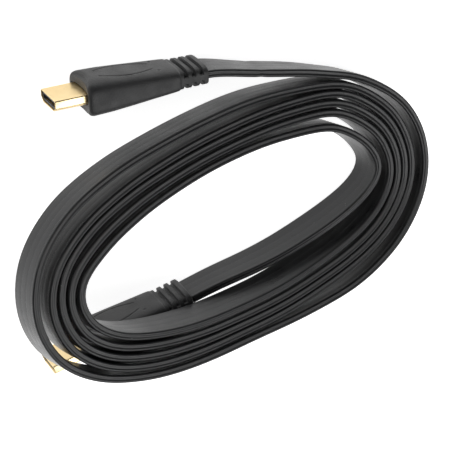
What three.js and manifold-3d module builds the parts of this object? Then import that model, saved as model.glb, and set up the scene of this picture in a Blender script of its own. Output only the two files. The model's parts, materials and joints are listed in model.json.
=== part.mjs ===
// A flat video cable wound into an oval coil, with one plug in front and one lying inside it.
// Millimetres, +Z up. The origin is under the middle of the whole part, on the surface that it lies on.
import * as THREE from 'three';
import Module from 'manifold-3d';
import { mergeVertices } from 'three/addons/utils/BufferGeometryUtils.js';

const wasm = await Module();
wasm.setup();

// Driving dimensions of the flat cable.
const ribbonWidth = 14.0;
const ribbonThickness = 3.0;
const ribbonCorner = 0.75;
const ribbonStep = 3.0;
const joinGap = 0.3;

// Driving dimensions of the metal shell and of the insulator in it.
const shellWidth = 13.9;
const shellThickness = 4.45;
const shellWall = 0.35;
const shellBevel = 1.5;
const shellRound = 0.45;
const shellProud = 11.9;
const shellBuried = 4.0;
const tongueSetBack = 0.5;
const tongueWidth = 11.4;
const tongueGap = 1.7;
const tongueDepth = 8.0;

// Driving dimensions of the moulding: its grip, then the slotted strain relief that ends in a flange.
const mouldingWidth = 20.1;
const mouldingThickness = 13.4;
const noseLength = 2.0;
const gripLength = 35.5;
const firstSlot = 1.9;
const reliefSlots = 3;
const reliefPitch = 3.05;
const flangeLength = 2.8;
const slotWidth = 1.4;
const slotDepth = 1.25;
const spineThickness = 2.4;
const scoopRadius = 40.0;
const scoopDepth = 0.8;
const mouldingLength = gripLength + firstSlot + (reliefSlots - 1) * reliefPitch + flangeLength;

// Where each plug lies: the middle of its flange, where the cable leaves it, and the way it points.
// A plug stands on one narrow side and leans over a little.
const plugTail = { a: [-4.93, 60.55], b: [-19.8, -29.4] };
const plugHeading = { a: -4.0, b: 11.2 };
const plugLean = -2.7;
const leanRise = 0.04;
const plugCentreHeight = mouldingWidth / 2 + leanRise;
const planMiddle = [-2.96, 10.96];

// The coil leans: one end rests on plug b and the other touches the surface. Distances along the coil.
const coilSpan = 133.0;
const coilReach = 87.45;
const coilRoll = -3.72;
const stripLean = 6.0;
const coilPerch = 2 * plugCentreHeight + joinGap;
const coilPitch = Math.asin(coilPerch / coilSpan);
const coilMiddle = [0.95, -0.01, ribbonWidth / 2 + coilReach * Math.sin(coilPitch)];

// Middle line of the coil's outermost turn in the coil's own plane, clockwise from its upper right.
const outline = [
  [46.5, 45.2], [63.5, 35.4], [76.4, 22.1], [82.8, 4.2], [80.4, -13.7],
  [68.5, -30.0], [48.5, -41.0], [24.0, -44.9], [-3.0, -45.8], [-29.0, -46.1],
  [-50.0, -43.2], [-70.8, -35.1], [-84.8, -22.1], [-90.8, -3.4], [-86.4, 16.2],
  [-72.3, 31.2], [-52.5, 39.8], [-30.0, 44.4], [-6.0, 47.1], [20.0, 48.3],
];

// Air between neighbouring turns, from the outermost inwards, at eight places of the outline.
const turnGaps = [
  { at: 0, gaps: [0.6, 0.4, 0.7, 0.6, 2.7] },
  { at: 3, gaps: [3.6, 0.3, 0.3, 0.4, 2.2] },
  { at: 6, gaps: [5.0, 0.4, 0.4, 2.2, 4.5] },
  { at: 8, gaps: [1.0, 0.4, 0.4, 1.6, 7.6] },
  { at: 10, gaps: [1.0, 1.0, 1.1, 1.7, 8.2] },
  { at: 13, gaps: [3.4, 0.7, 0.7, 1.0, 7.6] },
  { at: 15, gaps: [5.4, 0.4, 2.1, 1.8, 3.4] },
  { at: 18, gaps: [3.1, 0.6, 0.9, 1.1, 7.3] },
];
const stepsPerTurn = 60;
const lastTurn = 5;
const lastPlace = 2;

// The innermost full turn stands the other way, by an angle in degrees, where it passes plug b's
// lead. The change starts and ends over these counts of places passed.
const flareLean = -2.6;
const flareStart = [83, 86];
const flareEnd = [89, 92];

// Free stretches between the coil and the plugs: points along the middle of the flat cable.
// The third number is the height over the middle of the plugs.
const leadA = [
  [-4.6, 60.5, 0], [-1.5, 60.1, 0], [4.0, 58.5, 0], [12.0, 55.7, -0.1], [20.0, 53.3, -0.2],
  [28.0, 51.0, -0.3], [36.0, 48.5, -0.4],
];
const leadB = [
  [61.9, 1.3, 0.1], [59.6, -4.0, -0.1], [54.0, -8.9, 0], [48.7, -11.9, 0], [43.0, -14.6, 0],
  [35.3, -17.5, 0], [26.4, -20.5, 0], [17.0, -23.1, 0], [5.0, -25.4, -0.1], [-6.0, -26.8, -0.1],
  [-13.5, -28.2, -0.1], [-19.5, -29.35, 0],
];
const leadStraight = 3.5;

// How far the flat cable leans over at a lead's plug and at its middle, in degrees.
const leadLean = { a: [2.7, 8.0], b: [2.7, -3.0] };

const colours = {
  ribbon: new THREE.MeshStandardMaterial({ color: 0x1b1b1e, roughness: 0.5, metalness: 0 }),
  moulding: new THREE.MeshStandardMaterial({ color: 0x17171a, roughness: 0.7, metalness: 0 }),
  gold: new THREE.MeshStandardMaterial({ color: 0xd9ad5b, roughness: 0.25, metalness: 1 }),
  tongue: new THREE.MeshStandardMaterial({ color: 0x2a2a2c, roughness: 0.5, metalness: 0 }),
};

// A path whose width direction is given along it, so that a flat section keeps its stance.
class FlatPath extends THREE.CatmullRomCurve3 {
  constructor(points, widthAt) {
    super(points, false, 'centripetal');
    this.widthAt = widthAt;
  }

  getSpacedPoints(divisions) {
    return this.getPoints(divisions);
  }

  computeFrenetFrames(segments) {
    const frames = { tangents: [], normals: [], binormals: [] };
    for (let i = 0; i <= segments; i += 1) {
      const tangent = this.getTangent(i / segments);
      const side = new THREE.Vector3().crossVectors(tangent, this.widthAt(i / segments)).normalize();
      frames.tangents.push(tangent);
      frames.normals.push(new THREE.Vector3().crossVectors(side, tangent).normalize());
      frames.binormals.push(side);
    }
    return frames;
  }
}

// The flat cable's section: a long rectangle with its four corners taken off.
function ribbonSection() {
  const w = ribbonWidth / 2;
  const t = ribbonThickness / 2;
  const c = ribbonCorner;
  const corners = [[w, t - c], [w - c, t], [c - w, t], [-w, t - c], [-w, c - t], [c - w, -t], [w - c, -t], [w, c - t]];
  return new THREE.Shape(corners.map(([x, y]) => new THREE.Vector2(x, y)));
}

function ribbonMesh(name, points, widthAt, chosenSteps) {
  const extrudePath = new FlatPath(points, widthAt);
  const steps = chosenSteps ?? Math.ceil(extrudePath.getLength() / ribbonStep);
  const geometry = new THREE.ExtrudeGeometry(ribbonSection(), { steps, extrudePath });
  const mesh = new THREE.Mesh(geometry, colours.ribbon);
  mesh.name = name;
  return mesh;
}

// How far in a turn lies from the outermost one at a listed place.
function insetOf(place, turn) {
  return place.gaps.slice(0, turn).reduce((sum, gap) => sum + gap + ribbonThickness, 0);
}

// How far in the cable lies after a number of places passed, eased from one listed place to the next.
function insetAt(placesPassed) {
  const turn = Math.floor(placesPassed / outline.length);
  const place = placesPassed - turn * outline.length;
  let k = turnGaps.length - 1;
  while (turnGaps[k].at > place) k -= 1;
  const here = turnGaps[k];
  const last = k === turnGaps.length - 1;
  const next = last ? turnGaps[0] : turnGaps[k + 1];
  const span = (last ? outline.length : next.at) - here.at;
  const from = insetOf(here, turn);
  const to = insetOf(next, last ? Math.min(turn + 1, lastTurn) : turn);
  return THREE.MathUtils.lerp(from, to, THREE.MathUtils.smoothstep(place, here.at, here.at + span));
}

// The coil's middle line in its own plane: round the outline again and again, each turn further in.
function coilPoints() {
  const rim = new THREE.CatmullRomCurve3(outline.map(([x, y]) => new THREE.Vector3(x, y, 0)), true, 'centripetal');
  const places = lastTurn * outline.length + lastPlace;
  const count = Math.round((places / outline.length) * stepsPerTurn);
  const points = [];
  for (let i = 0; i <= count; i += 1) {
    const passed = (places * i) / count;
    const around = (passed / outline.length) % 1;
    const tangent = rim.getTangent(around);
    const inward = new THREE.Vector3(tangent.y, -tangent.x, 0);
    points.push(rim.getPoint(around).addScaledVector(inward, insetAt(passed)));
  }
  return points;
}

// Upright, but leaning over to +Y by an angle in degrees.
function leaning(degrees) {
  const angle = THREE.MathUtils.degToRad(degrees);
  return new THREE.Vector3(0, Math.sin(angle), Math.cos(angle));
}

// How far the flat cable leans over in the coil, after a number of places passed.
function coilLean(passed) {
  const share = THREE.MathUtils.smoothstep(passed, ...flareStart) - THREE.MathUtils.smoothstep(passed, ...flareEnd);
  return THREE.MathUtils.lerp(stripLean, flareLean, share);
}

const coilFrame = new THREE.Matrix4()
  .makeRotationFromEuler(new THREE.Euler(THREE.MathUtils.degToRad(coilRoll), coilPitch, 0))
  .setPosition(new THREE.Vector3(...coilMiddle));
const coilWidthway = leaning(stripLean).transformDirection(coilFrame);

// A point straight out of an end of the coil, in the part's own frame.
function beyondCoil(end, before, distance) {
  const out = new THREE.Vector3().subVectors(end, before).setLength(distance);
  return out.add(end).applyMatrix4(coilFrame);
}

// The width direction along a lead, from its plug to the coil, for a distance from 0 to 1.
function leadWidthway([atPlug, atMiddle], along) {
  const middle = leaning(atMiddle);
  const first = leaning(atPlug).lerp(middle, THREE.MathUtils.smoothstep(along, 0, 0.5));
  return along < 0.5 ? first : middle.lerp(coilWidthway, THREE.MathUtils.smoothstep(along, 0.5, 1));
}

function makeCable() {
  const group = new THREE.Group();
  const turns = coilPoints();
  const places = lastTurn * outline.length + lastPlace;
  const coil = ribbonMesh('cable_coil', turns, (u) => leaning(coilLean(u * places)), turns.length - 1);
  coil.applyMatrix4(coilFrame);
  group.add(coil);

  const n = turns.length;
  const raised = ([x, y, rise]) => new THREE.Vector3(x, y, plugCentreHeight + rise);
  const joinA = [leadStraight, joinGap].map((d) => beyondCoil(turns[0], turns[1], d));
  const pointsA = [...leadA.map(raised), ...joinA];
  group.add(ribbonMesh('cable_lead_a', pointsA, (u) => leadWidthway(leadLean.a, u)));

  const joinB = [joinGap, leadStraight].map((d) => beyondCoil(turns[n - 1], turns[n - 2], d));
  const pointsB = [...joinB, ...leadB.map(raised)];
  group.add(ribbonMesh('cable_lead_b', pointsB, (u) => leadWidthway(leadLean.b, 1 - u)));
  return group;
}

function toSolid(geometry) {
  const plain = geometry.clone();
  plain.deleteAttribute('normal');
  plain.deleteAttribute('uv');
  const merged = mergeVertices(plain, 1e-4);
  const index = merged.index ? merged.index.array : [...Array(merged.attributes.position.count).keys()];
  const mesh = new wasm.Mesh({
    numProp: 3,
    vertProperties: Float32Array.from(merged.attributes.position.array),
    triVerts: Uint32Array.from(index),
  });
  return new wasm.Manifold(mesh);
}

function toGeometry(solid) {
  const mesh = solid.getMesh();
  const geometry = new THREE.BufferGeometry();
  geometry.setAttribute('position', new THREE.BufferAttribute(mesh.vertProperties.slice(), 3));
  geometry.setIndex(new THREE.BufferAttribute(mesh.triVerts.slice(), 1));
  return geometry;
}

function box(sizeX, sizeY, sizeZ, x) {
  return toSolid(new THREE.BoxGeometry(sizeX, sizeY, sizeZ).translate(x, 0, 0));
}

// The moulding's outline at stations along it: [along, share of the width, share of the thickness].
const mouldingStations = [
  [0, 0.93, 0.86], [noseLength * 0.4, 0.985, 0.95], [noseLength, 1, 1],
  [gripLength * 0.25, 1, 0.96], [gripLength * 0.48, 0.97, 0.87], [gripLength * 0.7, 0.93, 0.77],
  [gripLength * 0.92, 0.89, 0.68], [gripLength * 0.98, 0.87, 0.65], [gripLength, 0.84, 0.6],
  [mouldingLength, 0.83, 0.57],
];

function mouldingSize(along) {
  let k = 1;
  while (k < mouldingStations.length - 1 && mouldingStations[k][0] < along) k += 1;
  const [a0, w0, t0] = mouldingStations[k - 1];
  const [a1, w1, t1] = mouldingStations[k];
  const f = THREE.MathUtils.clamp((along - a0) / (a1 - a0), 0, 1);
  return [mouldingWidth * THREE.MathUtils.lerp(w0, w1, f), mouldingThickness * THREE.MathUtils.lerp(t0, t1, f)];
}

// The moulding's outer shape: a fat rounded section drawn along its length and narrowed on the way.
function mouldingBlank() {
  const sides = 36;
  const fullness = 0.52;
  const section = [];
  for (let i = 0; i < sides; i += 1) {
    const angle = (2 * Math.PI * i) / sides;
    const c = Math.cos(angle);
    const s = Math.sin(angle);
    const x = Math.sign(c) * Math.abs(c) ** fullness * (mouldingWidth / 2);
    const y = Math.sign(s) * Math.abs(s) ** fullness * (mouldingThickness / 2);
    section.push(new THREE.Vector2(x, y));
  }
  const steps = mouldingStations.length - 1;
  const geometry = new THREE.ExtrudeGeometry(new THREE.Shape(section), { steps, depth: steps, bevelEnabled: false });
  const position = geometry.attributes.position;
  for (let i = 0; i < position.count; i += 1) {
    const [along, wide, thick] = mouldingStations[Math.round(position.getZ(i))];
    position.setXYZ(i, position.getX(i) * wide, position.getY(i) * thick, along);
  }
  return toSolid(geometry.rotateY(Math.PI / 2).translate(shellProud, 0, 0));
}

// One groove round the strain relief that leaves a core, and a spine along each narrow side.
function reliefSlot(along) {
  const x = shellProud + along;
  const [wide, thick] = mouldingSize(along);
  return box(slotWidth, mouldingThickness * 2, mouldingWidth * 2, x)
    .subtract(box(slotWidth * 2, thick - 2 * slotDepth, wide - 2 * slotDepth, x))
    .subtract(box(slotWidth * 2, spineThickness, mouldingWidth * 3, x));
}

function shellOutline(offset) {
  const w = shellWidth / 2 - offset;
  const t = shellThickness / 2 - offset;
  const bevel = shellBevel - offset * 0.4;
  const round = shellRound;
  const shape = new THREE.Shape();
  shape.moveTo(w, t - round);
  shape.absarc(w - round, t - round, round, 0, Math.PI / 2, false);
  shape.absarc(round - w, t - round, round, Math.PI / 2, Math.PI, false);
  shape.lineTo(-w, bevel - t);
  shape.lineTo(bevel * 1.25 - w, -t);
  shape.lineTo(w - bevel * 1.25, -t);
  shape.lineTo(w, bevel - t);
  shape.closePath();
  return shape;
}

function alongX(shape, from, length) {
  const geometry = new THREE.ExtrudeGeometry(shape, { depth: length, bevelEnabled: false, curveSegments: 4 });
  return geometry.rotateY(Math.PI / 2).translate(from, 0, 0);
}

function makeMoulding() {
  let solid = mouldingBlank();
  for (let i = 0; i < reliefSlots; i += 1) {
    solid = solid.subtract(reliefSlot(gripLength + firstSlot + i * reliefPitch));
  }
  const pocket = alongX(shellOutline(-joinGap), shellProud - noseLength, noseLength + shellBuried + joinGap);
  const scoop = new THREE.CylinderGeometry(scoopRadius, scoopRadius, mouldingThickness * 2, 96);
  scoop.translate(shellProud + scoopDepth - scoopRadius, 0, 0);
  return toGeometry(solid.subtract(toSolid(pocket)).subtract(toSolid(scoop)));
}

function makeShell() {
  const shape = shellOutline(0);
  shape.holes.push(new THREE.Path(shellOutline(shellWall).getPoints(4)));
  return alongX(shape, 0, shellProud + shellBuried);
}

function makeTongue() {
  const block = alongX(shellOutline(shellWall + joinGap), tongueSetBack, shellProud + shellBuried - tongueSetBack);
  const slot = box(2 * (tongueSetBack + tongueDepth), tongueGap, tongueWidth, 0);
  return toGeometry(toSolid(block).subtract(slot));
}

function makePlug(label) {
  const group = new THREE.Group();
  const add = (name, geometry, material) => {
    const mesh = new THREE.Mesh(geometry.translate(-shellProud - mouldingLength, 0, 0), material);
    mesh.name = `plug_${label}_${name}`;
    group.add(mesh);
    return mesh;
  };
  add('moulding', makeMoulding(), colours.moulding);
  add('shell', makeShell(), colours.gold);
  add('insulator', makeTongue(), colours.tongue);
  const heading = THREE.MathUtils.degToRad(plugHeading[label]);
  group.rotation.set(THREE.MathUtils.degToRad(plugLean), 0, heading, 'ZYX');
  group.position.set(...plugTail[label], plugCentreHeight);
  return group;
}

const part = new THREE.Group();
part.add(makeCable(), makePlug('a'), makePlug('b'));
part.position.set(-planMiddle[0], -planMiddle[1], 0);

export default part;
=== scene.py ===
# %% [markdown]
# # A flat video cable, wound up and laid on a table
#
# The real object is about two metres of flat black cable with a gold plug on each end.
# It is wound into an oval, so most of what is seen is the narrow edge of one long strip.
# The imported model gives the frame: where each plug sits and how big everything is.
# This file dresses that frame, piece by piece, and every length in it is in millimetres
# until a mesh is written, because cable sizes are easier to read that way.

# %% Load the frame and group its parts into bodies
import json
import math

import bmesh
import bpy
from mathutils import Matrix, Vector

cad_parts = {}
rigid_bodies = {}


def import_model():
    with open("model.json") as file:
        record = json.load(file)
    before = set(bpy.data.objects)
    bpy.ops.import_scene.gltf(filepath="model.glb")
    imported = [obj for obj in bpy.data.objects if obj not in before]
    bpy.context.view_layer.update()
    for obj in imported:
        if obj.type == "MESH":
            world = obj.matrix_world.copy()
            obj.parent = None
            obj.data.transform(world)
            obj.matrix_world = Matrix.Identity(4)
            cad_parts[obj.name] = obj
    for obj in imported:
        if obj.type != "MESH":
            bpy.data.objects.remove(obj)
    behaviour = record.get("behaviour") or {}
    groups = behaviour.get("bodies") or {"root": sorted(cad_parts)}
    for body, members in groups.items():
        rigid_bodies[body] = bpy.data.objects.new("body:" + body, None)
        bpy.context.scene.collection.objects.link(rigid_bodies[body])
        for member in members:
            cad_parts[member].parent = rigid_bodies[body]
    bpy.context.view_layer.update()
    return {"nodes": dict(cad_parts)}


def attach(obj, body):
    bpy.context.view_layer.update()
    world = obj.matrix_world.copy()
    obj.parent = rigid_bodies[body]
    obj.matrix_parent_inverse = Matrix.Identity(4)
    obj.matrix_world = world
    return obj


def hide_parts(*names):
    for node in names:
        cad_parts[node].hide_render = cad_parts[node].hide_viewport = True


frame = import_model()
MM = 0.001

# %% [markdown]
# ## The camera
#
# A product photograph like this one is taken from high up with a long lens, which keeps the
# far side of the coil nearly as large as the near side. The camera is also turned about its
# own axis, so the strip's height runs across the picture at a slant. The three axes below are
# the camera's right, up and backward directions, worked out from a heading, a height and a roll.

# %% Place the camera
CAMERA_AT = Vector((-264.04, 380.04, 642.49))
LOOK_ALONG = Vector((0.33616, -0.50107, -0.79745)).normalized()
CAMERA_ROLL = math.radians(134.5138)
LENS = 168.3

level_right = LOOK_ALONG.cross(Vector((0, 0, 1))).normalized()
level_up = level_right.cross(LOOK_ALONG)
camera_right = math.cos(CAMERA_ROLL) * level_right + math.sin(CAMERA_ROLL) * level_up
camera_back = -LOOK_ALONG
camera_up = camera_back.cross(camera_right)

camera_data = bpy.data.cameras.new("camera")
camera_data.sensor_width = 36.0
camera_data.lens = LENS
camera_data.clip_start = 0.05
camera_data.clip_end = 20.0
camera = bpy.data.objects.new("camera", camera_data)
bpy.context.scene.collection.objects.link(camera)
turn = Matrix((camera_right, camera_up, camera_back)).transposed().to_4x4()
camera.matrix_world = Matrix.Translation(CAMERA_AT * MM) @ turn
bpy.context.scene.camera = camera
print("camera distance to the coil:", round(CAMERA_AT.length), "mm")

# %% [markdown]
# ## The route of the cable
#
# A flat cable doesn't twist by itself: it stands on its narrow edge and bends only across its
# thin side. So its route is a plain curve plus one more fact at each point, the direction of
# its width. The coil is one outline that is gone round again and again, each time a little
# further in. The spaces between neighbouring turns are chosen at eight places of the outline,
# because a hand-wound coil is tight in one place and open in another.

# %% Sizes of the cable and the list of its points
RIBBON_WIDTH = 14.0
RIBBON_THICKNESS = 3.0
PLAN_MIDDLE = Vector((-2.96, 10.96, 0))
GRIP_WIDTH = 20.1
PLUG_CENTRE_HEIGHT = GRIP_WIDTH / 2 + 0.04
JOIN_GAP = 0.3
LEAD_STRAIGHT = 3.5
COIL_SPAN = 133.0
COIL_REACH = 87.45
COIL_PITCH = math.asin((2 * PLUG_CENTRE_HEIGHT + JOIN_GAP) / COIL_SPAN)
COIL_ROLL = math.radians(-3.72)
COIL_MIDDLE = Vector((0.95, -0.01, RIBBON_WIDTH / 2 + COIL_REACH * math.sin(COIL_PITCH)))
STRIP_LEAN = 6.0
LEAD_LEAN = {"a": (2.7, 8.0), "b": (2.7, -3.0)}

OUTLINE = [
    (46.5, 45.2), (63.5, 35.4), (76.4, 22.1), (82.8, 4.2), (80.4, -13.7),
    (68.5, -30.0), (48.5, -41.0), (24.0, -44.9), (-3.0, -45.8), (-29.0, -46.1),
    (-50.0, -43.2), (-70.8, -35.1), (-84.8, -22.1), (-90.8, -3.4), (-86.4, 16.2),
    (-72.3, 31.2), (-52.5, 39.8), (-30.0, 44.4), (-6.0, 47.1), (20.0, 48.3),
]
TURN_GAPS = {
    0: (0.6, 0.4, 0.7, 0.6, 2.7),
    3: (3.6, 0.3, 0.3, 0.4, 2.2),
    6: (5.0, 0.4, 0.4, 2.2, 4.5),
    8: (1.0, 0.4, 0.4, 1.6, 7.6),
    10: (1.0, 1.0, 1.1, 1.7, 8.2),
    13: (3.4, 0.7, 0.7, 1.0, 7.6),
    15: (5.4, 0.4, 2.1, 1.8, 3.4),
    18: (3.1, 0.6, 0.9, 1.1, 7.3),
}
LAST_TURN = 5
LAST_PLACE = 2
FLARE_LEAN = -2.6
FLARE_START, FLARE_END = (83, 86), (89, 92)
LEAD_A = [
    (-4.6, 60.5, 0), (-1.5, 60.1, 0), (4.0, 58.5, 0), (12.0, 55.7, -0.1), (20.0, 53.3, -0.2),
    (28.0, 51.0, -0.3), (36.0, 48.5, -0.4),
]
LEAD_B = [
    (61.9, 1.3, 0.1), (59.6, -4.0, -0.1), (54.0, -8.9, 0), (48.7, -11.9, 0), (43.0, -14.6, 0),
    (35.3, -17.5, 0), (26.4, -20.5, 0), (17.0, -23.1, 0), (5.0, -25.4, -0.1), (-6.0, -26.8, -0.1),
    (-13.5, -28.2, -0.1), (-19.5, -29.35, 0),
]
print("turns:", LAST_TURN + LAST_PLACE / len(OUTLINE))


# %% A curve through chosen points
def knot_gap(p, q):
    return max(math.sqrt((q - p).length), 0.01)


def curve_point(points, u, closed=False):
    """A point of the smooth curve through the points, for u from 0 to 1."""
    n = len(points)
    place = u * (n if closed else n - 1)
    i = int(math.floor(place))
    if not closed:
        i = min(i, n - 2)
    w = place - i
    if closed:
        p0, p1, p2, p3 = (points[(i + k) % n] for k in (-1, 0, 1, 2))
    else:
        p1, p2 = points[i], points[i + 1]
        p0 = points[i - 1] if i > 0 else 2 * p1 - p2
        p3 = points[i + 2] if i + 2 < n else 2 * p2 - p1
    a, b, c = knot_gap(p0, p1), knot_gap(p1, p2), knot_gap(p2, p3)
    m1 = ((p1 - p0) / a - (p2 - p0) / (a + b) + (p2 - p1) / b) * b
    m2 = ((p2 - p1) / b - (p3 - p1) / (b + c) + (p3 - p2) / c) * b
    w2, w3 = w * w, w * w * w
    return p1 * (2 * w3 - 3 * w2 + 1) + m1 * (w3 - 2 * w2 + w) + p2 * (3 * w2 - 2 * w3) + m2 * (w3 - w2)


def ease(x, start, end):
    x = min(max((x - start) / (end - start), 0.0), 1.0)
    return x * x * (3 - 2 * x)


# %% How far in each turn lies
def inset_at(passed):
    """Distance in from the outermost turn after a number of outline points passed."""
    turn_number, place = divmod(passed, len(OUTLINE))
    turn_number = int(turn_number)
    places = sorted(TURN_GAPS)
    here = max(p for p in places if p <= place)
    after = places.index(here) + 1
    depth = lambda p, t: sum(TURN_GAPS[p][:t]) + t * RIBBON_THICKNESS
    if after < len(places):
        return depth(here, turn_number) + (
            depth(places[after], turn_number) - depth(here, turn_number)
        ) * ease(place, here, places[after])
    start, end = depth(here, turn_number), depth(0, min(turn_number + 1, LAST_TURN))
    return start + (end - start) * ease(place, here, len(OUTLINE))


# %% The coil, then the whole cable from plug to plug
coil_place = (
    Matrix.Translation(COIL_MIDDLE) @ Matrix.Rotation(COIL_ROLL, 4, "X") @ Matrix.Rotation(COIL_PITCH, 4, "Y")
)


def leaning(degrees):
    """Upright, but leaning over to +Y by an angle."""
    return Vector((0, math.sin(math.radians(degrees)), math.cos(math.radians(degrees))))


def in_coil(degrees):
    return (coil_place.to_3x3() @ leaning(degrees)).normalized()


def coil_lean(passed):
    """The innermost full turn stands the other way where it passes plug b's lead."""
    share = ease(passed, *FLARE_START) - ease(passed, *FLARE_END)
    return STRIP_LEAN + (FLARE_LEAN - STRIP_LEAN) * share


def lead_widthway(label, along):
    """The width direction along a lead, from its plug at 0 to the coil at 1."""
    at_plug, at_middle = (leaning(a) for a in LEAD_LEAN[label])
    if along < 0.5:
        return at_plug.lerp(at_middle, ease(along, 0.0, 0.5))
    return at_middle.lerp(in_coil(STRIP_LEAN), ease(along, 0.5, 1.0))


def coil_points():
    rim = [Vector((x, y, 0)) for x, y in OUTLINE]
    places = LAST_TURN * len(OUTLINE) + LAST_PLACE
    count = round(places / len(OUTLINE) * 120)
    points = []
    for i in range(count + 1):
        passed = places * i / count
        u = passed / len(OUTLINE) % 1.0
        along = curve_point(rim, (u + 1e-4) % 1.0, True) - curve_point(rim, (u - 1e-4) % 1.0, True)
        along.normalize()
        inward = Vector((along.y, -along.x, 0))
        points.append(coil_place @ (curve_point(rim, u, True) + inward * inset_at(passed)))
    return points


def lead_points(points, widthway):
    return [(curve_point(points, i / 60), widthway(i / 60)) for i in range(61)]


def raised(points):
    return [Vector((x, y, PLUG_CENTRE_HEIGHT + rise)) for x, y, rise in points]


def whole_route():
    """Points along the cable's middle, each with the direction of the cable's width there."""
    coil = coil_points()
    out_a = (coil[0] - coil[1]).normalized()
    out_b = (coil[-1] - coil[-2]).normalized()
    lead_a = raised(LEAD_A) + [coil[0] + out_a * LEAD_STRAIGHT, coil[0] + out_a * JOIN_GAP]
    lead_b = [coil[-1] + out_b * JOIN_GAP, coil[-1] + out_b * LEAD_STRAIGHT] + raised(LEAD_B)
    first = lead_points(lead_a, lambda u: lead_widthway("a", u))
    last = lead_points(lead_b, lambda u: lead_widthway("b", 1 - u))
    places = LAST_TURN * len(OUTLINE) + LAST_PLACE
    widths = [in_coil(coil_lean(places * i / (len(coil) - 1))) for i in range(len(coil))]
    return first + list(zip(coil, widths)) + last


print("points on the raw route:", len(whole_route()))


# %% [markdown]
# The chosen points give small kinks where the leads meet the coil. A real strip can't kink like
# that, because it is springy. So the route is cut into short equal steps and each point is
# averaged with its neighbours, which takes out bends shorter than about a centimetre.

# %% Even steps, then a springy smoothing
EVEN_STEP = 1.0
SPRING_REACH = 12
SPRING_SPREAD = 4.0
RING_STEP = 2.4


def even_steps(route, step):
    lengths = [0.0]
    for (p, _), (q, _) in zip(route, route[1:]):
        lengths.append(lengths[-1] + (q - p).length)
    count = round(lengths[-1] / step)
    result, k = [], 0
    for i in range(count + 1):
        want = lengths[-1] * i / count
        while k < len(lengths) - 2 and lengths[k + 1] < want:
            k += 1
        span = max(lengths[k + 1] - lengths[k], 1e-9)
        f = (want - lengths[k]) / span
        (p, a), (q, b) = route[k], route[k + 1]
        result.append((p.lerp(q, f), a.lerp(b, f)))
    return result


def springy(route, reach, spread):
    weights = [math.exp(-0.5 * (k / spread) ** 2) for k in range(-reach, reach + 1)]
    last = len(route) - 1
    smooth = []
    for i in range(last + 1):
        room = min(reach, i, last - i)
        part = range(-room, room + 1)
        total = sum(weights[k + reach] for k in part)
        point = sum((route[i + k][0] * weights[k + reach] for k in part), Vector()) / total
        widthway = sum((route[i + k][1] * weights[k + reach] for k in part), Vector()) / total
        smooth.append((point, widthway))
    return smooth


smooth_route = springy(even_steps(whole_route(), EVEN_STEP), SPRING_REACH, SPRING_SPREAD)
route = [(p - PLAN_MIDDLE, widthway) for p, widthway in even_steps(smooth_route, RING_STEP)]

# %% [markdown]
# ## The strip itself
#
# Looked at from the end, the strip isn't a plain rectangle. Its narrow edges are two soft beads
# with a shallow groove between them, left by the die that the jacket is pressed through, and its
# wide faces carry faint lines along their length. That end shape is drawn once and carried along
# the route, one ring of points at each step. The faces are joined ring to ring and the ends closed.

# %% The end shape of the strip
BEAD = 0.68
EDGE_GROOVE = 0.2
FACE_LINE = 0.018
FACE_LINE_HALF = 0.3
FACE_LINES_AT = (5.4, 1.8, -1.8, -5.4)
CREASE_AT = 21.0
CREASE_DEPTH = 0.22
CREASE_LENGTH = 0.9


def strip_section():
    """Points (across the width, across the thickness) all the way round, in millimetres."""
    w, t = RIBBON_WIDTH / 2, RIBBON_THICKNESS / 2
    flat = RIBBON_THICKNESS - 2 * BEAD
    edge = []
    for k in range(6):
        angle = math.radians(90 - 18 * k)
        edge.append((w - BEAD + BEAD * math.cos(angle), t - BEAD + BEAD * math.sin(angle)))
    for y in (0.6, 0.4, 0.2, 0.0, -0.2, -0.4, -0.6):
        edge.append((w - EDGE_GROOVE * math.cos(math.pi * y / flat) ** 2, y))
    for k in range(6):
        angle = math.radians(-18 * k)
        edge.append((w - BEAD + BEAD * math.cos(angle), BEAD - t + BEAD * math.sin(angle)))
    face = []
    for x in FACE_LINES_AT:
        face += [(x + FACE_LINE_HALF, -t), (x, FACE_LINE - t), (x - FACE_LINE_HALF, -t)]
    half = edge + face
    return half + [(-x, -y) for x, y in half]


SECTION = strip_section()
print("points round the strip:", len(SECTION))


# %% Carry the end shape along the route
def ring_frames(path):
    """At each point of the route: the place, the width direction and the thickness direction."""
    frames = []
    for i, (point, widthway) in enumerate(path):
        ahead = path[min(i + 1, len(path) - 1)][0] - path[max(i - 1, 0)][0]
        ahead.normalize()
        side = ahead.cross(widthway).normalized()
        frames.append((point, side.cross(ahead).normalized(), side))
    return frames


def strip_mesh(name, path):
    frames = ring_frames(path)
    n = len(SECTION)
    verts, faces = [], []
    travelled = [0.0]
    for (p, _, _), (q, _, _) in zip(frames, frames[1:]):
        travelled.append(travelled[-1] + (q - p).length)
    for (point, width, side), s in zip(frames, travelled):
        dent = CREASE_DEPTH * math.exp(-(((s - CREASE_AT) / CREASE_LENGTH) ** 2))
        narrower = 1 - dent / RIBBON_WIDTH
        for a, b in SECTION:
            verts.append((point + width * a * narrower + side * (b - math.copysign(dent, b))) * MM)
    for i in range(len(frames) - 1):
        for k in range(n):
            m = (k + 1) % n
            faces.append((i * n + k, i * n + m, (i + 1) * n + m, (i + 1) * n + k))
    faces.append(tuple(range(n)))
    faces.append(tuple((len(frames) - 1) * n + k for k in reversed(range(n))))
    mesh = bpy.data.meshes.new(name)
    mesh.from_pydata(verts, [], faces)
    return mesh, frames, travelled


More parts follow.
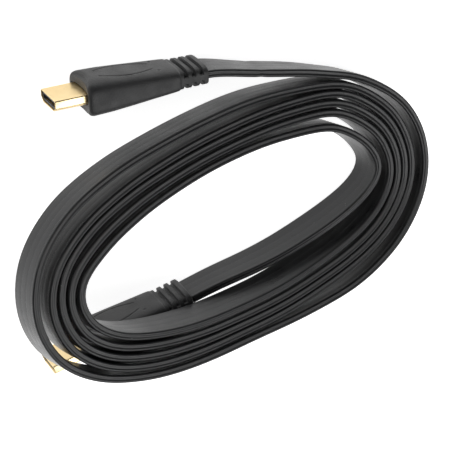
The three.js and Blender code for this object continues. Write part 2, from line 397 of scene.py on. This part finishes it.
def add_piece(name, mesh, smooth_below=40):
    """Makes the object, checks that its faces point out, and shades it smooth but for sharp edges."""
    cleaner = bmesh.new()
    cleaner.from_mesh(mesh)
    bmesh.ops.recalc_face_normals(cleaner, faces=cleaner.faces)
    cleaner.to_mesh(mesh)
    cleaner.free()
    mesh.shade_smooth()
    mesh.set_sharp_from_angle(angle=math.radians(smooth_below))
    piece = bpy.data.objects.new(name, mesh)
    bpy.context.scene.collection.objects.link(piece)
    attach(piece, "root")
    return piece


cable_mesh, cable_frames, travelled = strip_mesh("cable_strip", route)


# %% Lay the strip's own map on it
def map_strip(mesh, rings, along):
    """The map's first number runs along the cable in metres, its second round the end shape."""
    n = len(SECTION)
    layer = mesh.uv_layers.new(name="strip")
    for polygon in mesh.polygons:
        columns = [mesh.loops[k].vertex_index % n for k in polygon.loop_indices]
        wraps = len(columns) == 4 and 0 in columns and n - 1 in columns
        for k, column in zip(polygon.loop_indices, columns):
            ring = mesh.loops[k].vertex_index // n
            round_it = n if wraps and column == 0 else column
            layer.data[k].uv = (along[ring] * MM, round_it / n)


map_strip(cable_mesh, len(cable_frames), travelled)
cable = add_piece("cable_strip", cable_mesh)
print("strip faces:", len(cable_mesh.polygons))

# %% [markdown]
# ## A workshop for materials
#
# Every finish here is built from the same few bricks: noise for unevenness, a ramp to choose how
# much of it counts, and a bump to turn it into tiny hills. The helpers below save typing.

# %% Small helpers for node materials
class Finish:
    """One material and its node tree, with short ways to add and join nodes."""

    def __init__(self, name, **surface):
        self.material = bpy.data.materials.new(name)
        self.material.use_nodes = True
        self.nodes = self.material.node_tree.nodes
        self.links = self.material.node_tree.links
        self.surface = self.nodes["Principled BSDF"]
        for socket, value in surface.items():
            self.surface.inputs[socket.replace("_", " ")].default_value = value

    def node(self, kind, settings=None, **inputs):
        made = self.nodes.new(kind)
        for key, value in (settings or {}).items():
            setattr(made, key, value)
        for key, value in inputs.items():
            self.feed(made.inputs[key.replace("_", " ")], value)
        return made

    def feed(self, socket, value):
        if isinstance(value, bpy.types.NodeSocket):
            self.links.new(value, socket)
        else:
            socket.default_value = value

    def place(self, kind="Object"):
        return self.node("ShaderNodeTexCoord").outputs[kind]

    def noise(self, where, scale, detail=3.0, roughness=0.5):
        made = self.node("ShaderNodeTexNoise", Vector=where, Scale=scale, Detail=detail, Roughness=roughness)
        return made.outputs["Fac"]

    def span(self, value, low, high, to_low=0.0, to_high=1.0):
        made = self.node("ShaderNodeMapRange")
        keys = ("Value", "From Min", "From Max", "To Min", "To Max")
        for key, item in zip(keys, (value, low, high, to_low, to_high)):
            self.feed(made.inputs[key], item)
        return made.outputs["Result"]

    def sum(self, a, b, operation="ADD"):
        made = self.node("ShaderNodeMath", {"operation": operation})
        self.feed(made.inputs[0], a)
        self.feed(made.inputs[1], b)
        return made.outputs[0]

    def blend(self, factor, first, second):
        made = self.node("ShaderNodeMix", {"data_type": "RGBA"})
        self.feed(made.inputs["Factor"], factor)
        self.feed(made.inputs["A"], first)
        self.feed(made.inputs["B"], second)
        return made.outputs["Result"]

    def bump(self, height, distance, strength=1.0):
        made = self.node("ShaderNodeBump", None, Height=height, Strength=strength, Distance=distance)
        self.links.new(made.outputs["Normal"], self.surface.inputs["Normal"])


# %% [markdown]
# The jacket is soft black plastic with a satin skin. In the photograph it is never flat black:
# it takes a grey sheen at a shallow angle, it has faint lines along its length, and a few specks
# of dust sit on it. The lines follow the strip, so they read the strip's own map. The cloudy
# unevenness and the dust don't follow anything, so they read the object's own coordinates.

# %% The jacket's finish
def jacket_finish():
    f = Finish("jacket black satin", Roughness=0.35, IOR=1.36, Coat_Weight=0.05, Coat_Roughness=0.25)
    where = f.place()
    along = f.node("ShaderNodeMapping", None, Vector=f.place("UV"), Scale=(6.0, 90.0, 1.0)).outputs["Vector"]
    cloud = f.noise(where, 120.0, 4.0)
    streak = f.noise(along, 8.0, 3.0)
    grain = f.noise(where, 2600.0, 2.0)
    speck = f.node("ShaderNodeTexVoronoi", None, Vector=where, Scale=420.0)
    dust = f.span(speck.outputs["Distance"], 0.05, 0.12, 1.0, 0.0)
    chosen = f.span(f.noise(where, 210.0, 1.0), 0.6, 0.68)
    dust = f.sum(dust, chosen, "MULTIPLY")
    tone = f.blend(cloud, (0.0075, 0.0078, 0.0085, 1), (0.016, 0.0163, 0.0172, 1))
    tone = f.blend(f.sum(dust, 0.5, "MULTIPLY"), tone, (0.2, 0.2, 0.19, 1))
    f.feed(f.surface.inputs["Base Color"], tone)
    rough = f.sum(f.span(cloud, 0.3, 0.7, 0.27, 0.37), f.span(streak, 0.3, 0.7, -0.04, 0.06))
    f.feed(f.surface.inputs["Roughness"], f.sum(rough, f.sum(dust, 0.3, "MULTIPLY")))
    height = f.sum(f.sum(grain, 0.35, "MULTIPLY"), f.sum(streak, 0.9, "MULTIPLY"))
    f.bump(height, 0.00006, 0.6)
    return f.material


cable.data.materials.append(jacket_finish())
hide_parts("cable_lead_a", "cable_coil", "cable_lead_b")
print("jacket laid on", cable.name)

# %% [markdown]
# ## The plugs
#
# Each plug is a gold steel shell set into a black moulded grip, and the two plugs are the same.
# So a plug is made once in its own small frame: first number along the plug from the front of
# its shell, second through its thickness, third across its width. A matrix then carries each
# copy to its own place.

# %% Where each plug lies
SHELL_PROUD = 11.9
GRIP_LENGTH = 46.3
PLUG_TAIL = {"a": Vector((-4.93, 60.55, 0)), "b": Vector((-19.8, -29.4, 0))}
PLUG_HEADING = {"a": math.radians(-4.0), "b": math.radians(11.2)}
PLUG_LEAN = math.radians(-2.7)


def plug_place(label):
    at = PLUG_TAIL[label] - PLAN_MIDDLE + Vector((0, 0, PLUG_CENTRE_HEIGHT))
    turned = Matrix.Rotation(PLUG_HEADING[label], 4, "Z") @ Matrix.Rotation(PLUG_LEAN, 4, "X")
    back = Matrix.Translation((-SHELL_PROUD - GRIP_LENGTH, 0, 0))
    return Matrix.Scale(MM, 4) @ Matrix.Translation(at) @ turned @ back


def mesh_of_rings(name, rings, loop=False):
    """Joins rings of equally many points into one closed skin."""
    n = len(rings[0])
    verts = [Vector(p) for ring in rings for p in ring]
    faces = []
    pairs = list(range(len(rings) - 1)) + ([len(rings) - 1] if loop else [])
    for i in pairs:
        j = (i + 1) % len(rings)
        for k in range(n):
            m = (k + 1) % n
            faces.append((i * n + k, i * n + m, j * n + m, j * n + k))
    if not loop:
        faces.append(tuple(range(n)))
        faces.append(tuple((len(rings) - 1) * n + k for k in reversed(range(n))))
    mesh = bpy.data.meshes.new(name)
    mesh.from_pydata(verts, [], faces)
    return mesh


print("plug a front:", list(plug_place("a").translation))

# %% [markdown]
# ### The moulded grip
#
# The grip is fat and rounded, and gets thinner towards the cable. Its front is hollowed into an
# arch round the shell. Behind, three slots on each side let it bend. All of it comes from one
# rule: a rounded outline whose size changes along the plug. So it is made as rings from the
# pocket round the shell, over the front, along the body and into the pocket round the cable.

# %% Sizes of the grip
GRIP_THICKNESS = 13.4
GRIP_FULLNESS = 0.52
GRIP_STATIONS = [
    (0.0, 0.93, 0.86), (0.8, 0.985, 0.95), (2.0, 1.0, 1.0), (8.9, 1.0, 0.96), (17.0, 0.97, 0.87),
    (24.9, 0.93, 0.77), (32.7, 0.89, 0.68), (34.8, 0.87, 0.65), (35.5, 0.84, 0.6), (46.3, 0.83, 0.57),
]
SLOTS_AT = [37.4, 40.45, 43.5]
SLOT_WIDTH = 1.4
SLOT_DEPTH = 1.25
SPINE = 2.4
SCOOP_RADIUS = 40.0
SCOOP_DEPTH = 0.8
ARCH_DEPTH = 1.0
ARCH_HALF_WIDTH = 8.0
FRONT_FADES_BY = 9.0
MARK_DEPTH = 0.28
LEAF_FROM = 6.0
LEAF_LENGTH = 21.0
LEAF_HALF_WIDTH = 6.1
LEAF_PINCH = 0.9
LEAF_LINE = 0.34
DOTS_AT = 28.6
DOTS_ASIDE = 4.6
DOT_RADIUS = 0.62
AROUND = 200
DENSE = 4000


def grip_scale(along):
    """The grip's width and thickness there, as shares of the fullest place, eased between stations."""
    for (a0, w0, t0), (a1, w1, t1) in zip(GRIP_STATIONS, GRIP_STATIONS[1:]):
        if along <= a1:
            f = (along - a0) / (a1 - a0)
            f = f if a1 > 3 else math.sin(f * math.pi / 2)
            return w0 + (w1 - w0) * f, t0 + (t1 - t0) * f
    return GRIP_STATIONS[-1][1:]


def grip_outline(count):
    """Evenly spaced points of the rounded outline at the grip's fullest place."""
    half_w, half_t = GRIP_WIDTH / 2, GRIP_THICKNESS / 2
    dense = []
    for i in range(DENSE):
        angle = 2 * math.pi * i / DENSE
        c, s = math.cos(angle), math.sin(angle)
        across = math.copysign(abs(c) ** GRIP_FULLNESS, c) * half_w
        dense.append((across, math.copysign(abs(s) ** GRIP_FULLNESS, s) * half_t))
    steps = [math.dist(dense[i], dense[(i + 1) % DENSE]) for i in range(DENSE)]
    total, walked, points = sum(steps), 0.0, []
    for point, step in zip(dense, steps):
        if walked >= total * len(points) / count and len(points) < count:
            points.append(point)
        walked += step
    return points


GRIP_OUTLINE = grip_outline(AROUND)
print("points round the grip:", len(GRIP_OUTLINE))


# %% Outlines that are met from inside
SHELL_HALF_WIDTH = 6.95
SHELL_HALF_THICKNESS = 2.225
SHELL_BEVEL = 1.5
BEVEL_SLANT = 1.25


def rounded_corners(corners, radius, steps=5):
    """A closed outline with each corner rounded."""
    result = []
    n = len(corners)
    for i in range(n):
        here, before, after = (Vector(corners[(i + k) % n]) for k in (0, -1, 1))
        to_a, to_b = (before - here).normalized(), (after - here).normalized()
        half = to_a.angle(to_b) / 2
        cut = radius / math.tan(half)
        centre = here + (to_a + to_b).normalized() * (radius / math.sin(half))
        start, end = here + to_a * cut - centre, here + to_b * cut - centre
        for k in range(steps + 1):
            spoke = start.lerp(end, k / steps).normalized() * radius
            result.append(centre + spoke)
    return result


def shell_outline(grow, radius=0.5):
    """The metal shell's end shape, grown by a distance: a rectangle with one side bevelled."""
    w, t = SHELL_HALF_WIDTH + grow, SHELL_HALF_THICKNESS + grow
    bevel = SHELL_BEVEL + grow * 0.4
    cut = bevel * BEVEL_SLANT
    corners = [(w, t), (-w, t), (-w, bevel - t), (cut - w, -t), (w - cut, -t), (w, bevel - t)]
    return rounded_corners(corners, max(radius + grow * 0.6, 0.2))


def on_ray(outline, direction):
    """Where a ray from the middle meets an outline."""
    dx, dy = direction
    for p, q in zip(outline, outline[1:] + outline[:1]):
        ex, ey = q[0] - p[0], q[1] - p[1]
        under = dx * ey - dy * ex
        if abs(under) < 1e-12:
            continue
        t = (p[0] * ey - p[1] * ex) / under
        u = (p[0] * dy - p[1] * dx) / under
        if t > 0 and -1e-9 <= u <= 1 + 1e-9:
            return dx * t, dy * t
    raise ValueError("the ray misses the outline")


# %% The hollowed front, the slots and the marks on the grip
def front_hollow(across):
    """How deep the arch in the front is at a distance across the width."""
    return max(0.0, math.sqrt(SCOOP_RADIUS ** 2 - across * across) - (SCOOP_RADIUS - SCOOP_DEPTH))


def slot_share(along, through):
    """1 inside a slot of the strain relief, 0 outside it or on the spine of a narrow side."""
    inside = 0.0
    for middle in SLOTS_AT:
        off = abs(along - middle)
        inside = max(inside, 1 - ease(off, SLOT_WIDTH / 2 - 0.16, SLOT_WIDTH / 2 + 0.16))
    return inside * ease(abs(through), SPINE / 2 - 0.15, SPINE / 2 + 0.35)


def line_depth(distance, half_width):
    return 1 - ease(distance, half_width * 0.3, half_width)


def mark_depth(along, across):
    """Depth of the moulded marks on a wide face, from 0 to 1: a long leaf outline and two dots."""
    depth = 0.0
    f = (along - LEAF_FROM) / LEAF_LENGTH
    if 0 < f < 1:
        edge = LEAF_HALF_WIDTH * math.sin(math.pi * (f * 0.62 + 0.19)) - LEAF_PINCH
        depth = max(depth, line_depth(abs(abs(across) - edge), LEAF_LINE))
    for dot in (-DOTS_ASIDE, DOTS_ASIDE):
        depth = max(depth, line_depth(math.hypot(along - DOTS_AT, across - dot), DOT_RADIUS))
    return depth


def grip_point(along, k, shrink=1.0):
    w, t = grip_scale(along)
    across, through = GRIP_OUTLINE[k]
    half_w, half_t = GRIP_WIDTH / 2 * w, GRIP_THICKNESS / 2 * t
    cut = slot_share(along, through * t)
    across *= w * (1 - cut * SLOT_DEPTH / half_w) * shrink
    through *= t * (1 - cut * SLOT_DEPTH / half_t) * shrink
    if abs(GRIP_OUTLINE[k][1]) > GRIP_THICKNESS / 2 * 0.8 and along > 3:
        through -= math.copysign(MARK_DEPTH * mark_depth(along, across), through)
    arch = ARCH_DEPTH * (1 - min((across / ARCH_HALF_WIDTH) ** 2, 1.0)) * ease(abs(through), 2.6, 5.6)
    pushed = along + (front_hollow(across) + arch) * (1 - ease(along, 0.0, FRONT_FADES_BY))
    return Vector((SHELL_PROUD + pushed, through, across))


# %% Build the grip's rings
def grip_rings():
    shell_pocket = shell_outline(0.18)
    w, t = RIBBON_WIDTH / 2 + 0.14, RIBBON_THICKNESS / 2 + 0.14
    cable_pocket = rounded_corners([(w, t), (-w, t), (-w, -t), (w, -t)], 0.7)
    front = [on_ray(shell_pocket, GRIP_OUTLINE[k]) for k in range(AROUND)]
    back = [on_ray(cable_pocket, GRIP_OUTLINE[k]) for k in range(AROUND)]
    rings = []
    for depth in (4.25, 1.2, 0.2, 0.0):
        lip = 0.12 if depth == 0.0 else 0.0
        at = SHELL_PROUD + depth - lip
        rings.append([Vector((at + front_hollow(a), b * (1 + lip), a * (1 + lip))) for a, b in front])
    for share in (0.3, 0.65, 0.93):
        rim = [grip_point(0.0, k) for k in range(AROUND)]
        ring = []
        for (a, b), outer in zip(front, rim):
            across, through = a + (outer.z - a) * share, b + (outer.y - b) * share
            ring.append(Vector((SHELL_PROUD + front_hollow(across) - 0.06, through, across)))
        rings.append(ring)
    alongs = [0.0, 0.12, 0.3, 0.5, 0.75, 1.05, 1.45, 2.0, 2.7, 3.4]
    alongs += [3.4 + 0.34 * i for i in range(1, 94)]
    alongs += [35.3 + 0.11 * i for i in range(96)]
    rings += [[grip_point(a, k) for k in range(AROUND)] for a in alongs]
    for along, shrink in ((45.95, 0.995), (46.18, 0.975), (46.3, 0.94)):
        rings.append([grip_point(along, k, shrink) for k in range(AROUND)])
    for along, lip in ((46.3, 0.06), (46.15, 0.0), (44.2, 0.0)):
        rings.append([Vector((SHELL_PROUD + along, b * (1 + lip), a * (1 + lip))) for a, b in back])
    return rings


grip_ring_list = grip_rings()
print("rings along the grip:", len(grip_ring_list))

# %% [markdown]
# Moulded grips are given a fine eroded texture in the mould, so that they aren't slippery and
# don't show fingerprints. At arm's length it looks like very fine leather. Two sizes of noise
# make it: a fine one for the pebbles and a broad one for slow changes of shine.

# %% The grip's finish
def grip_finish():
    f = Finish("grip black pebbled", IOR=1.48, Sheen_Weight=0.12, Sheen_Roughness=0.5)
    where = f.place()
    cells = f.node("ShaderNodeTexVoronoi", {"feature": "SMOOTH_F1"}, Vector=where, Scale=2100.0)
    pebble = cells.outputs["Distance"]
    grain = f.noise(where, 3300.0, 2.0)
    broad = f.noise(where, 160.0, 3.0)
    tone = f.blend(broad, (0.009, 0.0092, 0.0098, 1), (0.018, 0.0182, 0.019, 1))
    tone = f.blend(f.span(grain, 0.62, 0.8, 0.0, 0.35), tone, (0.05, 0.05, 0.05, 1))
    f.feed(f.surface.inputs["Base Color"], tone)
    f.feed(f.surface.inputs["Roughness"], f.span(broad, 0.3, 0.7, 0.5, 0.64))
    f.bump(f.sum(f.sum(pebble, 0.8, "MULTIPLY"), grain), 0.00012, 0.55)
    return f.material


# %% Make both grips
grip_material = grip_finish()
for label in "ab":
    mesh = mesh_of_rings(f"plug_{label}_grip", grip_ring_list)
    mesh.transform(plug_place(label))
    piece = add_piece(f"plug_{label}_grip", mesh, 50)
    piece.data.materials.append(grip_material)
    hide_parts(f"plug_{label}_moulding")
    print(piece.name, len(mesh.polygons), "faces")

# %% [markdown]
# ### The metal shell
#
# The shell is thin steel, folded to a rectangle with one wide side bevelled so that the plug goes
# in only one way, and plated with gold. Folded sheet has round corners, and its cut front edge is
# slightly broken. It is made as a loop of rings: in along the outside, round the edge and back
# along the inside, so it is a real thin wall.

# %% Build the shells
SHELL_WALL = 0.35
SHELL_BACK = SHELL_PROUD + 4.0


def shell_rings():
    stations = [
        (SHELL_BACK, -SHELL_WALL), (6.0, -SHELL_WALL), (0.3, -SHELL_WALL), (0.1, -SHELL_WALL + 0.05),
        (0.0, -SHELL_WALL + 0.13), (0.0, -0.12), (0.07, -0.04), (0.25, 0.0), (6.0, 0.0), (12.0, 0.0),
        (SHELL_BACK, 0.0),
    ]
    return [[Vector((x, through, across)) for across, through in shell_outline(grow)] for x, grow in stations]


def gold_finish():
    f = Finish("shell gold plate", Metallic=1.0, Specular_Tint=(1.0, 0.93, 0.8, 1.0))
    where = f.place()
    stretched = f.node("ShaderNodeMapping", None, Vector=where, Scale=(60.0, 900.0, 900.0)).outputs["Vector"]
    brushed = f.noise(stretched, 3.0, 4.0)
    cloud = f.noise(where, 260.0, 3.0)
    tone = f.blend(cloud, (0.78, 0.6, 0.32, 1), (0.9, 0.74, 0.45, 1))
    tone = f.blend(f.span(f.noise(where, 900.0, 2.0), 0.66, 0.74, 0.0, 0.35), tone, (0.55, 0.43, 0.28, 1))
    f.feed(f.surface.inputs["Base Color"], tone)
    rough = f.sum(f.span(brushed, 0.3, 0.7, 0.27, 0.37), f.span(cloud, 0.4, 0.7, 0.0, 0.06))
    f.feed(f.surface.inputs["Roughness"], rough)
    f.bump(brushed, 0.00002, 0.35)
    return f.material


gold_material = gold_finish()
for label in "ab":
    mesh = mesh_of_rings(f"plug_{label}_sleeve", shell_rings(), loop=True)
    mesh.transform(plug_place(label))
    piece = add_piece(f"plug_{label}_sleeve", mesh, 45)
    piece.data.materials.append(gold_material)
    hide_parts(f"plug_{label}_shell")
    print(piece.name, len(mesh.polygons), "faces")

# %% [markdown]
# ### The insulator and its contacts
#
# Inside the shell a block of dark plastic holds nineteen thin gold contacts, ten on one wall of
# its slot and nine on the other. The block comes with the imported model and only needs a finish.
# The contacts are one small strip repeated at an even pitch, which is what Geometry Nodes are
# good at: the tree below has the count and the sizes as its inputs.

# %% The insulator's finish
def insulator_finish():
    f = Finish("insulator dark grey", IOR=1.5, Roughness=0.45)
    where = f.place()
    broad = f.noise(where, 500.0, 3.0)
    f.feed(f.surface.inputs["Base Color"], f.blend(broad, (0.02, 0.02, 0.021, 1), (0.05, 0.05, 0.052, 1)))
    f.feed(f.surface.inputs["Roughness"], f.span(broad, 0.3, 0.7, 0.4, 0.55))
    f.bump(f.noise(where, 2400.0, 2.0), 0.00004, 0.4)
    return f.material


insulator_material = insulator_finish()
for label in "ab":
    node = frame["nodes"][f"plug_{label}_insulator"]
    node.data.materials.clear()
    node.data.materials.append(insulator_material)
print("insulators finished")


# %% A tree that lays a row of strips
def contact_tree():
    tree = bpy.data.node_groups.new("contact row", "GeometryNodeTree")
    for name, kind, value in (("Count", "NodeSocketInt", 10), ("Pitch", "NodeSocketFloat", 1.0),
                              ("Length", "NodeSocketFloat", 7.0), ("Width", "NodeSocketFloat", 0.5),
                              ("Thickness", "NodeSocketFloat", 0.15), ("Finish", "NodeSocketMaterial", None)):
        made = tree.interface.new_socket(name=name, in_out="INPUT", socket_type=kind)
        if value is not None:
            made.default_value = value
    tree.interface.new_socket(name="Geometry", in_out="OUTPUT", socket_type="NodeSocketGeometry")
    add = tree.nodes.new
    join = tree.links.new
    inputs, output = add("NodeGroupInput"), add("NodeGroupOutput")
    step, size = add("ShaderNodeCombineXYZ"), add("ShaderNodeCombineXYZ")
    line, cube = add("GeometryNodeMeshLine"), add("GeometryNodeMeshCube")
    put = add("GeometryNodeInstanceOnPoints")
    real, paint = add("GeometryNodeRealizeInstances"), add("GeometryNodeSetMaterial")
    join(inputs.outputs["Pitch"], step.inputs["Z"])
    join(inputs.outputs["Length"], size.inputs["X"])
    join(inputs.outputs["Thickness"], size.inputs["Y"])
    join(inputs.outputs["Width"], size.inputs["Z"])
    join(inputs.outputs["Count"], line.inputs["Count"])
    join(step.outputs["Vector"], line.inputs["Offset"])
    join(size.outputs["Vector"], cube.inputs["Size"])
    join(line.outputs["Mesh"], put.inputs["Points"])
    join(cube.outputs["Mesh"], put.inputs["Instance"])
    join(put.outputs["Instances"], real.inputs["Geometry"])
    join(real.outputs["Geometry"], paint.inputs["Geometry"])
    join(inputs.outputs["Finish"], paint.inputs["Material"])
    join(paint.outputs["Geometry"], output.inputs["Geometry"])
    return tree


def rows_to_mesh(name, tree, rows):
    """Runs the tree once for each row and joins the rows in one plain mesh, in the plug's frame."""
    whole = bmesh.new()
    for values, shift in rows:
        holder = bpy.data.objects.new("row", bpy.data.meshes.new("row"))
        bpy.context.scene.collection.objects.link(holder)
        modifier = holder.modifiers.new("row", "NODES")
        modifier.node_group = tree
        for item in tree.interface.items_tree:
            if item.in_out == "INPUT" and item.name in values:
                modifier[item.identifier] = values[item.name]
        shown = holder.evaluated_get(bpy.context.evaluated_depsgraph_get())
        mesh = bpy.data.meshes.new_from_object(shown)
        mesh.transform(Matrix.Translation(shift))
        whole.from_mesh(mesh)
        bpy.data.objects.remove(holder)
    mesh = bpy.data.meshes.new(name)
    whole.to_mesh(mesh)
    whole.free()
    return mesh


# %% Lay the contacts in both plugs
row_tree = contact_tree()
CONTACTS_FROM = 4.5
CONTACT_PITCH = 1.0
SLOT_HALF = 0.85
CONTACT_SUNK = 0.09
sizes = {"Pitch": CONTACT_PITCH, "Length": 7.2, "Width": 0.5, "Thickness": 0.16, "Finish": gold_material}
for label in "ab":
    rows = [
        ({**sizes, "Count": 10}, Vector((CONTACTS_FROM, SLOT_HALF - CONTACT_SUNK, -4.5 * CONTACT_PITCH))),
        ({**sizes, "Count": 9}, Vector((CONTACTS_FROM, CONTACT_SUNK - SLOT_HALF, -4 * CONTACT_PITCH))),
    ]
    mesh = rows_to_mesh(f"plug_{label}_contacts", row_tree, rows)
    mesh.transform(plug_place(label))
    mesh.materials.clear()
    mesh.materials.append(gold_material)
    piece = add_piece(f"plug_{label}_contacts", mesh)
    print(piece.name, len(mesh.polygons), "faces")

# %% [markdown]
# ## The far plug
#
# The strip is flexible and free. It leaves plug a's grip and ends in plug b, and the
# pieces of plug b are gathered here in one list. The diameter declared here is not the strip's
# width, which is 14 mm: it is near what is measured when the strip is taken as round.

far_plug = [bpy.data.objects[n] for n in ("plug_b_grip", "plug_b_sleeve", "plug_b_contacts")]
far_plug.append(frame["nodes"]["plug_b_insulator"])

# %% [markdown]
# ## The table and the light
#
# The picture has a clean white ground, dark jackets and a soft light that runs along the narrow
# edges. A floor that glows white, a dim surrounding and two broad lamps give that.

# %% Floor
FLOOR_REACH = 4.0
FLOOR_BELOW = 0.0002


def floor_finish():
    f = Finish("floor white", Roughness=0.9, Emission_Color=(1, 1, 1, 1), Emission_Strength=0.88)
    cloud = f.noise(f.place(), 3.0, 2.0)
    f.feed(f.surface.inputs["Base Color"], f.blend(cloud, (0.92, 0.92, 0.92, 1), (0.95, 0.95, 0.95, 1)))
    return f.material


floor_mesh = bpy.data.meshes.new("floor")
corners = [(x * FLOOR_REACH, y * FLOOR_REACH, -FLOOR_BELOW) for x, y in ((-1, -1), (1, -1), (1, 1), (-1, 1))]
floor_mesh.from_pydata(corners, [], [(0, 1, 2, 3)])
floor = bpy.data.objects.new("floor", floor_mesh)
bpy.context.scene.collection.objects.link(floor)
floor.data.materials.append(floor_finish())


# %% Lamps and surrounding
def lamp(name, at, size, power):
    data = bpy.data.lights.new(name, "AREA")
    data.size = size
    data.energy = power
    made = bpy.data.objects.new(name, data)
    bpy.context.scene.collection.objects.link(made)
    made.location = at
    made.rotation_mode = "QUATERNION"
    made.rotation_quaternion = (-Vector(at)).to_track_quat("-Z", "Y")


lamp("soft_above", (0.4, -0.5, 1.0), 0.8, 9.5)
lamp("soft_left", (-0.9, 0.5, 0.7), 0.5, 2.5)
world = bpy.data.worlds.new("white room")
world.use_nodes = True
world.node_tree.nodes["Background"].inputs["Color"].default_value = (1, 1, 1, 1)
world.node_tree.nodes["Background"].inputs["Strength"].default_value = 0.12
bpy.context.scene.world = world
bpy.context.scene.view_settings.view_transform = "Standard"
